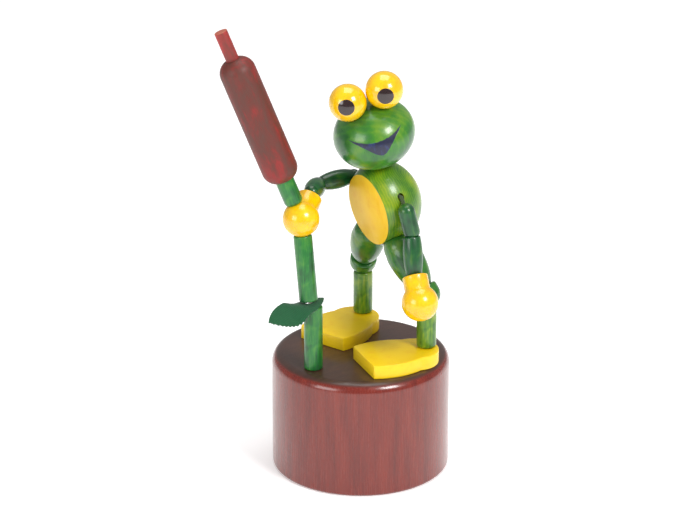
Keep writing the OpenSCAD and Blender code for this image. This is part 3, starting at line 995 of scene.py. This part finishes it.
@dataclass(frozen=True)
class PressAction:
    """The birch disc, the spring that pushes it down and the knots under it."""

    disc_z: float = 5.2
    disc_t: float = 5.0
    disc_d: float = 47.2
    edge: float = 0.9
    spring_d: float = 14.0
    wire: float = 1.2
    turns: int = 6
    ceiling: float = 31.4
    travel: float = 7.0
    hole_d: float = 2.4
    knot_r: float = 1.5
    knots: tuple[tuple[float, float], ...] = ((12.4, 8.5), (-11.2, 8.5), (2.4, -15.0))

    def disc(self) -> bpy.types.Object:
        """The press disc with its three holes."""
        spot = Spot(Vector((0, 0, self.disc_z)) * MM)
        outline = [(0.0, 0.0)] + rod(self.disc_t, self.disc_d, 0.0, self.edge)[1:-1] + [(0.0, self.disc_t)]
        piece = mesh_piece("turned_press_disc", placed(spun(outline, 128), spot))
        low, high = self.disc_z - 2, self.disc_z + self.disc_t + 2
        carve(piece, [drill(Vector((x, y, low)) * MM, Vector((x, y, high)) * MM, self.hole_d) for x, y in self.knots])
        return settle(piece, "button", [BareBirch().make("bare_birch_disc", spot)], ["press_disc"])

    def spring(self) -> bpy.types.Object:
        """The coil spring at rest, with a mesh of its own; the real spring shortens as the button goes in, this piece
        keeps its length.
        """
        build = bmesh.new()
        ring = bmesh.ops.create_circle(build, cap_ends=False, segments=12, radius=self.wire * MM / 2)["verts"]
        turn = Matrix.Rotation(math.radians(90), 4, "X")
        foot = self.disc_z + self.disc_t + self.wire / 2 + 0.06
        bmesh.ops.transform(build, matrix=turn, verts=ring)
        bmesh.ops.translate(build, vec=Vector((self.spring_d / 2, 0, foot)) * MM, verts=ring)
        rise = self.ceiling - self.disc_z - self.disc_t - self.wire - 0.12
        steps = self.turns * 36
        bmesh.ops.spin(
            build, geom=list(build.verts) + list(build.edges), cent=(0, 0, 0), axis=(0, 0, 1),
            dvec=Vector((0, 0, rise * MM / steps)), angle=2 * math.pi * self.turns, steps=steps,
        )
        bmesh.ops.holes_fill(build, edges=[e for e in build.edges if e.is_boundary], sides=12)
        piece = mesh_piece("coil_press_spring", build, math.radians(60))
        spot = Spot(Vector((0, 0, 0)))
        settle(piece, "base", [SpringSteel().make("spring_wire_coil", spot)], ["press_spring"])
        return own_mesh(piece)

    def knot_lumps(self) -> bpy.types.Object:
        """The three knots under the disc, each a lumpy ball of wound cord."""
        build = bmesh.new()
        for x, y in self.knots:
            lump = bmesh.ops.create_icosphere(build, subdivisions=4, radius=self.knot_r * MM)["verts"]
            for vert in lump:
                angle = math.atan2(vert.co.y, vert.co.x)
                wave = math.sin(3 * angle + vert.co.z / self.knot_r / MM * 4.5)
                vert.co *= 0.94 + 0.05 * wave
            bmesh.ops.translate(build, vec=Vector((x, y, self.disc_z - 0.06 - self.knot_r)) * MM, verts=lump)
        piece = mesh_piece("wound_cord_knots", build, math.radians(80))
        material = WoundKnot().make("white_cord_knots", Spot(Vector((0, 0, 0))))
        return settle(piece, "button", [material], ["cord_knots"])

    def build(self) -> None:
        """Makes the whole action."""
        self.disc()
        self.spring()
        self.knot_lumps()


@dataclass(frozen=True)
class Leaf:
    """The felt leaf, bent over the stem, with one pinked edge.

    Attributes:
        hub: the centre of its bend, in millimetres.
        turn: the direction of its rib, in degrees.
    """

    hub: tuple[float, float, float] = (2.57, -22.29, 54.0)
    turn: float = 92.0
    length: float = 22.0
    width: float = 11.0
    shift: float = -4.84
    bend_r: float = 8.3
    thickness: float = 0.6
    tooth: float = 1.15
    tooth_deep: float = 0.35
    droop: float = 0.012
    roll: float = 34.0
    columns: int = 132
    rows: int = 24
    hole_r: float = 1.3

    def half_width(self, along: float, toothed: bool) -> float:
        """The leaf's half width at a place along its rib, measured from its middle."""
        side_r = (self.length**2 + self.width**2) / (4 * self.width)
        half = math.sqrt(max(side_r**2 - along**2, 0.0)) - side_r + self.width / 2
        phase = abs((along / self.tooth) % 1.0 - 0.5) * 2
        return max(half - (self.tooth_deep * phase if toothed else 0.0), 0.02)

    def build(self) -> bpy.types.Object:
        build = bmesh.new()
        bmesh.ops.create_grid(build, x_segments=self.columns, y_segments=self.rows, size=1.0)
        uv = build.loops.layers.uv.new("cloth")
        flat: dict[bmesh.types.BMVert, tuple[float, float]] = {}
        for vert in build.verts:
            along = vert.co.x * (self.length / 2 - 0.05)
            flat[vert] = (along, vert.co.y * self.half_width(along, vert.co.y < 0))
        for face in build.faces:
            for loop in face.loops:
                loop[uv].uv = flat[loop.vert]
        for vert, (along, across) in flat.items():
            bend = across / self.bend_r
            x = along + self.shift
            sag = self.droop * min(x, 0.0) ** 2
            out = min(max((-x - 2.5) / 6.0, 0.0), 1.0)
            roll = math.radians(self.roll) * out * out * (3 - 2 * out)
            y, drop = self.bend_r * math.sin(bend), self.bend_r * (1 - math.cos(bend))
            across_at = y * math.cos(roll) - drop * math.sin(roll)
            fall = drop * math.cos(roll) - y * math.sin(roll)
            vert.co = Vector((x, across_at, self.bend_r - fall - sag))
        middle = [f for f in build.faces if math.hypot(*f.calc_center_median().xy) < self.hole_r]
        bmesh.ops.delete(build, geom=middle, context="FACES")
        bmesh.ops.recalc_face_normals(build, faces=build.faces)
        sheet = list(build.faces)
        bmesh.ops.solidify(build, geom=sheet, thickness=self.thickness)
        spot = Spot(Vector(self.hub) * MM, turned(0, self.turn))
        piece = mesh_piece("cloth_leaf", placed(build, spot), math.radians(50))
        material = RibbedFelt().make("green_felt_leaf", spot)
        settle(piece, "base", [material], ["leaf"])
        return piece


@dataclass(frozen=True)
class Cords:
    """The cords that string the beads, in one length for each bead that they run through."""

    finish: BraidedCord = BraidedCord()
    # The arm cords are coloured dark green-brown as painted shade, standing for the shade in the shoulder and bead
    # holes.
    painted_shade_cord: BraidedCord = BraidedCord(pale=srgb(74, 92, 46), shade=srgb(30, 44, 22))
    diameter: float = 1.2
    disc_top: float = 10.7
    ceiling: float = 31.9
    travel: float = 7.0

    def length(self, name: str, body: str, points: Sequence[Vector], nodes: Sequence[str] = ()) -> bpy.types.Object:
        """One length of cord inside one body."""
        piece = tube(f"cord_{name}", points, self.diameter)
        # Cords whose names hold "arm" take the dark cord, whose colour is painted shade.
        finish = self.painted_shade_cord if "arm" in name else self.finish
        material = finish.make(f"white_cord_{name}", Spot(Vector((0, 0, 0))))
        return settle(piece, body, [material], nodes)

    def slack(self, name: str, below: Vector, above: Vector) -> None:
        """The length between the disc and the ceiling, built straight with a mesh of its own; the real cord goes
        slack as the button goes in, this piece keeps its shape.
        """
        piece = self.length(name, "base", [below, above])
        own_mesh(piece)

    def leg(self, side: str, sign: int, knot: tuple[float, float]) -> None:
        """One leg's cord, from its knot to the knot inside the head."""
        ankle, knee = joint_at(f"{side}_ankle"), joint_at(f"{side}_knee_bend")
        hip = HIPS[side]
        x, y = knot
        below = Vector((x, y, self.disc_top)) * MM
        above = Vector((ankle.x, ankle.y, self.ceiling * MM))
        aside = Vector((sign * 0.75, 0, 0)) * MM
        self.length(f"{side}_leg_disc", "button", [Vector((x, y, 4.8)) * MM, below])
        self.slack(f"{side}_leg_slack", below, above)
        foot_top = Vector((ankle.x, ankle.y, FOOT_TOP * MM))
        self.length(f"{side}_leg_foot", "base", [above, foot_top], [f"{side}_leg_cord"])
        self.length(f"{side}_leg_shin", f"{side}_shin", [foot_top, knee])
        self.length(f"{side}_leg_thigh", f"{side}_thigh", [knee, hip])
        self.length(f"{side}_leg_torso", "torso", [hip, BORE_C + aside, NECK_TOP + aside])
        self.length(f"{side}_leg_neck", "neck", [NECK_TOP + aside, HEAD_C - HEAD_UP * 2.2 * MM + aside])

    def stem(self) -> None:
        """The cord through the bulrush's stem."""
        below, above = Vector((2.4, -15.0, self.disc_top)) * MM, Vector((3.42, -21.09, self.ceiling)) * MM
        self.length("stem_disc", "button", [Vector((2.4, -15.0, 4.8)) * MM, below])
        self.slack("stem_slack", below, above)
        low = [above, Vector((3.42, -21.09, 39.4)) * MM, Vector((3.165, -21.45, 61.4)) * MM, STEM_FOOT]
        self.length("stem_low", "base", low, ["stem_cord"])
        self.length("stem_mid", "mid_stem", [STEM_FOOT, PALM])
        self.length("stem_top", "bulrush", [PALM, RUSH_START - RUSH_UP * MM])

    def arms(self) -> None:
        """The cord through both arms and the torso."""
        left = [joint_at(f"left_{name}") for name in ("shoulder_swing", "elbow_swing", "wrist_swing")]
        right = [joint_at("right_shoulder_swing"), joint_at("right_elbow_swing"), RIGHT_WRIST]
        mouths = [ARM_HOLE + Vector((side * 11.218, 0, 0)) * MM for side in (1, -1)]
        self.length("arm_middle", "torso", [left[0], *mouths, right[0]], ["arm_cord"])
        self.length("left_upper_arm", "left_upper_arm", left[:2])
        self.length("left_forearm", "left_forearm", left[1:])
        self.length("left_hand", "left_hand", [left[2], left[2] + (LEFT_PALM - left[2]).normalized() * 5 * MM])
        self.length("right_upper_arm", "right_upper_arm", right[:2])
        self.length("right_forearm", "right_forearm", right[1:])
        end = RIGHT_WRIST + (PALM - RIGHT_WRIST).normalized() * 5 * MM
        self.length("right_hand", "right_hand", [RIGHT_WRIST, end])

    def build(self) -> None:
        """Makes every cord."""
        self.leg("left", 1, (12.4, 8.5))
        self.leg("right", -1, (-11.2, 8.5))
        self.stem()
        self.arms()


# ---------------------------------------------------------------- the assembly


def mm(x: float, y: float, z: float) -> Vector:
    """A point given in millimetres."""
    return Vector((x, y, z)) * MM


TORSO_C, HEAD_C = mm(0.93, 8.3, 89.1), mm(0.93, 4.32, 113.60)
TORSO_TURN, HEAD_FRAME = turned(10.5), turned(20, 64)
HEAD_UP = Vector((0, -0.1564, 0.9877))
HAND_REACH, SHIN_Y, SHIN_FOOT, FOOT_TOP, DRUM_TOP = 10.5, 12.8, 44.06, 44.0, 39.4
NECK_C = mm(0.93, 7.59, 92.93)
NECK_TOP = NECK_C + TORSO_TURN @ mm(0, 0, 10.408)
BORE_C, ARM_HOLE = TORSO_C + mm(0, 2, 1), TORSO_C + mm(0, -1.3, 5.6)
HIPS = {"left": mm(9.43, 8.7, 76.0), "right": mm(-7.57, 8.7, 76.0)}
STEM_FOOT, PALM = mm(2.57, -22.29, 62.84), mm(-1.781, -22.092, 89.441)
RUSH_UP = Vector((-0.2121, -0.3029, 0.9291))
PALM_RISE, UPPER_SHOWS = 5.355, 8.4
RUSH_START = PALM + RUSH_UP * (PALM_RISE + UPPER_SHOWS) * MM
RIGHT_WRIST = PALM + Vector((-4.4, 6.9, 5.7)).normalized() * HAND_REACH * MM
LEFT_PALM = joint_at("left_wrist_swing") + Vector((5.6, -1.5, -8.9)).normalized() * HAND_REACH * MM


@dataclass(frozen=True)
class Legs:
    """The two feet, shins, knees and thighs."""

    shin_len: float = 14.74
    shin_d: float = 6.4
    knee_r: float = 4.4
    gap: float = 0.12
    hole_r: float = 1.2

    def foot(self, side: str, toe_in: float) -> None:
        """A foot, its edges eased."""
        build = carried(f"{side}_foot")
        bmesh.ops.dissolve_limit(
            build, angle_limit=math.radians(0.6), verts=build.verts, edges=build.edges, use_dissolve_boundaries=False
        )
        soften(build, 0.55 * MM, 50)
        piece = mesh_piece(f"turned_{side}_foot", build)
        ankle = joint_at(f"{side}_ankle")
        spot = Spot(Vector((ankle.x, SHIN_Y * MM, DRUM_TOP * MM)), turned(0, toe_in) @ turned(90))
        settle(piece, "base", [FOOT_PAINT.make(f"yellow_gloss_{side}_foot", spot)], [f"{side}_foot"])

    def leg(self, side: str) -> None:
        """A shin, a knee and a thigh."""
        knee, ankle, hip = joint_at(f"{side}_knee_bend"), joint_at(f"{side}_ankle"), HIPS[side]
        up = Spot(Vector((ankle.x, SHIN_Y * MM, SHIN_FOOT * MM)))
        outline = rod(self.shin_len, self.shin_d, self.hole_r, 0.9)
        rise = knee.z / MM - SHIN_FOOT
        shaped = dished(outline, rise, self.knee_r + self.gap, self.hole_r, True)
        Lathed(f"{side}_shin", f"{side}_shin", "light_green_stain", Stain.SHIN.value, up, tuple(shaped)).build()
        along = toward(knee, hip)
        for part in ("knee", "thigh"):
            Turned(f"{side}_{part}", f"{side}_thigh", "mid_green_stain", Stain.LEG.value, along).build()

    def build(self) -> None:
        """Makes both legs."""
        self.foot("left", -13)
        self.foot("right", 17)
        self.leg("left")
        self.leg("right")


@dataclass(frozen=True)
class Trunk:
    """The torso with its flat painted belly, and the head with its eyes."""

    eye_r: float = 6.05
    eye_shift: float = 1.2
    eye_at: tuple[float, float] = (-2.0, 14.8)

    def torso(self) -> None:
        """The torso; its flat front takes the belly's paint."""
        piece = mesh_piece("turned_torso", carried("torso"))
        spot = Spot(TORSO_C, TORSO_TURN)
        wood = Stain.LIME.value.make("light_green_stain_torso", spot)
        materials = [wood, BELLY.make("light_green_stain_belly", spot)]
        settle(piece, "torso", materials, ["torso"])
        front = TORSO_TURN @ Vector((0, -1, 0))
        for face in piece.data.polygons:
            face.material_index = int(face.normal.dot(front) > 0.9995)

    def eye(self, side: str, sign: int, look: tuple[float, float, float]) -> None:
        """One eye with its painted pupil."""
        y, z = self.eye_at
        centre = HEAD_C + HEAD_FRAME @ mm(self.eye_shift + sign * (self.eye_r + 0.06), y, z)
        build = bmesh.new()
        bmesh.ops.create_uvsphere(build, u_segments=96, v_segments=64, radius=self.eye_r)
        spot = Spot(centre, HEAD_FRAME)
        piece = mesh_piece(f"turned_{side}_eye", placed(build, spot))
        material = EyePaint(look=look).make(f"yellow_gloss_{side}_eye", spot)
        settle(piece, "head", [material], [f"{side}_eye"])

    def build(self) -> None:
        """Makes the torso, the head, the eyes and the knot inside."""
        self.torso()
        green = Stain.HEAD.value
        face = FacePaint(
            green.dark, green.middle, green.light, ring_share=green.ring_share, mottle=green.mottle,
            coat=0.5, rough=0.32,
        )
        Turned("head", "head", "mid_green_stain", face, Spot(HEAD_C, HEAD_FRAME)).build()
        self.eye("left", 1, (-0.085, -0.988, 0.130))
        self.eye("right", -1, (-0.189, -0.948, 0.255))
        Turned("neck_knot", "neck", "white_cord", WoundKnot(), Spot(HEAD_C)).build()


@dataclass(frozen=True)
class Arms:
    """Both arms, bead by bead."""

    beads: tuple[str, ...] = ("upper_arm", "forearm", "hand")

    def build(self) -> None:
        """Makes both arms."""
        chains = {
            "left": [joint_at(f"left_{name}") for name in ("shoulder_swing", "elbow_swing", "wrist_swing")]
            + [LEFT_PALM],
            "right": [joint_at("right_shoulder_swing"), joint_at("right_elbow_swing"), RIGHT_WRIST, PALM],
        }
        for side, chain in chains.items():
            for bead, start, end in zip(self.beads, chain, chain[1:]):
                name = f"{side}_{bead}"
                hand = bead == "hand"
                finish = YELLOW if hand else Stain.ARM.value
                slot = "yellow_gloss" if hand else "dark_green_stain"
                Turned(name, name, slot, finish, toward(start, end)).build()


@dataclass(frozen=True)
class Bulrush:
    """The stem pieces and the bulrush on top."""

    stem_d: float = 6.0
    hole_r: float = 1.2
    palm_dish: float = 6.02
    rush_len: float = 43.4
    rush_d: float = 11.6
    rush_round: float = 4.6
    tip_d: float = 4.2
    tip_low: float = 37.86
    tip_high: float = 52.96

    def build(self) -> None:
        """Makes every piece of the bulrush."""
        finish, slot = Stain.STEM.value, "dark_green_stain"
        low = tuple(rod(21.49, self.stem_d, self.hole_r, 0.4))
        Lathed("lower_stem", "base", slot, finish, Spot(mm(3.42, -21.09, 39.46)), low).build()
        middle = rod(21.6, self.stem_d, self.hole_r, 0.5)
        rise = (PALM - STEM_FOOT).length / MM
        middle = dished(middle, rise, self.palm_dish, self.hole_r, True)
        Lathed("mid_stem", "mid_stem", slot, finish, toward(STEM_FOOT, PALM), tuple(middle)).build()
        up = toward(PALM, RUSH_START)
        upper = [(r, z + PALM_RISE) for r, z in rod(UPPER_SHOWS + self.rush_round, self.stem_d, self.hole_r, 1.4)]
        upper = dished(upper, 0.0, self.palm_dish, self.hole_r, False)
        Lathed("upper_stem", "bulrush", slot, finish, up, tuple(upper)).build()
        rush = Spot(RUSH_START, up.turn)
        socket, tip_hole = self.stem_d / 2 + 0.06, self.tip_d / 2 + 0.06
        r, edge = self.rush_d / 2, self.rush_round
        body = [(0.0, 4.66), (socket, 4.66)]
        body += [p for p in arc((r - edge, edge), edge, -90, 0, 16) if p[0] > socket]
        body += [p for p in arc((r - edge, self.rush_len - edge), edge, 0, 90, 16) if p[0] > tip_hole]
        body += [(tip_hole, self.tip_low - 0.06), (0.0, self.tip_low - 0.06)]
        body.insert(2, (socket, body[2][1]))
        body.insert(-2, (tip_hole, body[-3][1]))
        Lathed("rush_head", "bulrush", "rush_brown", RushStain(), rush, tuple(body)).build()
        tip_red = RushStain(brown=srgb(150, 44, 40), grey=srgb(120, 52, 44), red=srgb(186, 44, 40), end_z=52.9)
        tip = [(p[0], p[1] + self.tip_low) for p in rod(self.tip_high - self.tip_low, self.tip_d, 0.0, 0.2)]
        Lathed("rush_tip", "bulrush", "rush_red", tip_red, rush, tuple(tip)).build()


# ---------------------------------------------------------------- the studio


@dataclass(frozen=True)
class Studio:
    """A pale floor, soft lights, a plain world and the camera."""

    eye: tuple[float, float, float] = (0.7307, -0.5205, 0.4298)
    right: tuple[float, float, float] = (0.57358, 0.81915, 0.0)
    up: tuple[float, float, float] = (-0.30268, 0.21194, 0.92923)
    back: tuple[float, float, float] = (0.76118, -0.53299, 0.36950)
    lens: float = 159.06

    def floor(self) -> None:
        """A pale floor that fades into the background."""
        build = bmesh.new()
        bmesh.ops.create_circle(build, cap_ends=True, segments=96, radius=1.2)
        piece = mesh_piece("studio_floor", build)
        graph = Graph("studio_floor_paper")
        place = graph.local(Vector((0, 0, 0)), Matrix.Identity(3))
        grain = graph.noise(place, 0.05, 3.0)
        pale = graph.mix(grain, srgb(252, 252, 252), srgb(255, 255, 255))
        piece.data.materials.append(graph.dress(
            Base_Color=pale, Roughness=0.9, Specular_IOR_Level=0.1, Emission_Color=pale, Emission_Strength=0.3,
        ))

    def lamp(self, name: str, place: tuple[float, float, float], size: tuple[float, float], power: float) -> None:
        """A soft rectangular light that points at the puppet."""
        light = bpy.data.lights.new(name, "AREA")
        light.shape = "RECTANGLE"
        light.size, light.size_y = size
        light.energy = power
        lamp = bpy.data.objects.new(name, light)
        lamp.location = place
        lamp.rotation_euler = (Vector((0, 0, 0.08)) - Vector(place)).to_track_quat("-Z", "Y").to_euler()
        bpy.context.collection.objects.link(lamp)

    def world(self) -> None:
        """White to the camera, softer as a light and in reflections."""
        world = bpy.data.worlds.new("studio_world")
        bpy.context.scene.world = world
        world.use_nodes = True
        tree = world.node_tree
        tree.nodes.clear()
        path = tree.nodes.new("ShaderNodeLightPath")
        output = tree.nodes.new("ShaderNodeOutputWorld")
        soft, white = tree.nodes.new("ShaderNodeBackground"), tree.nodes.new("ShaderNodeBackground")
        soft.inputs[0].default_value = (1, 1, 1, 1)
        soft.inputs[1].default_value = 0.36
        white.inputs[0].default_value = (1, 1, 1, 1)
        white.inputs[1].default_value = 1.0
        mix = tree.nodes.new("ShaderNodeMixShader")
        tree.links.new(path.outputs["Is Camera Ray"], mix.inputs[0])
        tree.links.new(soft.outputs[0], mix.inputs[1])
        tree.links.new(white.outputs[0], mix.inputs[2])
        tree.links.new(mix.outputs[0], output.inputs[0])

    def camera(self) -> None:
        """The camera, on a long lens."""
        data = bpy.data.cameras.new("studio_camera")
        data.lens = self.lens
        data.sensor_width = 36.0
        data.clip_start, data.clip_end = 0.01, 20.0
        data.dof.use_dof = False
        camera = bpy.data.objects.new("studio_camera", data)
        turn = Matrix((self.right, self.up, self.back)).transposed().to_4x4()
        camera.matrix_world = Matrix.Translation(self.eye) @ turn
        bpy.context.collection.objects.link(camera)
        bpy.context.scene.camera = camera

    def build(self) -> None:
        """Sets up everything round the puppet."""
        self.floor()
        self.lamp("studio_key", (0.75, 0.1, 0.7), (0.3, 0.3), 6.0)
        self.lamp("studio_fill", (0.15, -0.95, 0.4), (0.5, 0.4), 3.0)
        self.lamp("studio_top", (-0.1, 0.1, 0.95), (0.6, 0.6), 3.5)
        self.world()
        self.camera()
        bpy.context.scene.view_settings.view_transform = "Standard"


def main() -> None:
    """Builds the whole puppet and its studio."""
    Drum().build()
    PressAction().build()
    Legs().build()
    Trunk().build()
    Arms().build()
    Bulrush().build()
    Leaf().build()
    Cords().build()
    Studio().build()


if __name__ == "__main__":
    logging.basicConfig(level=logging.INFO, format="%(name)s: %(message)s")
    main()
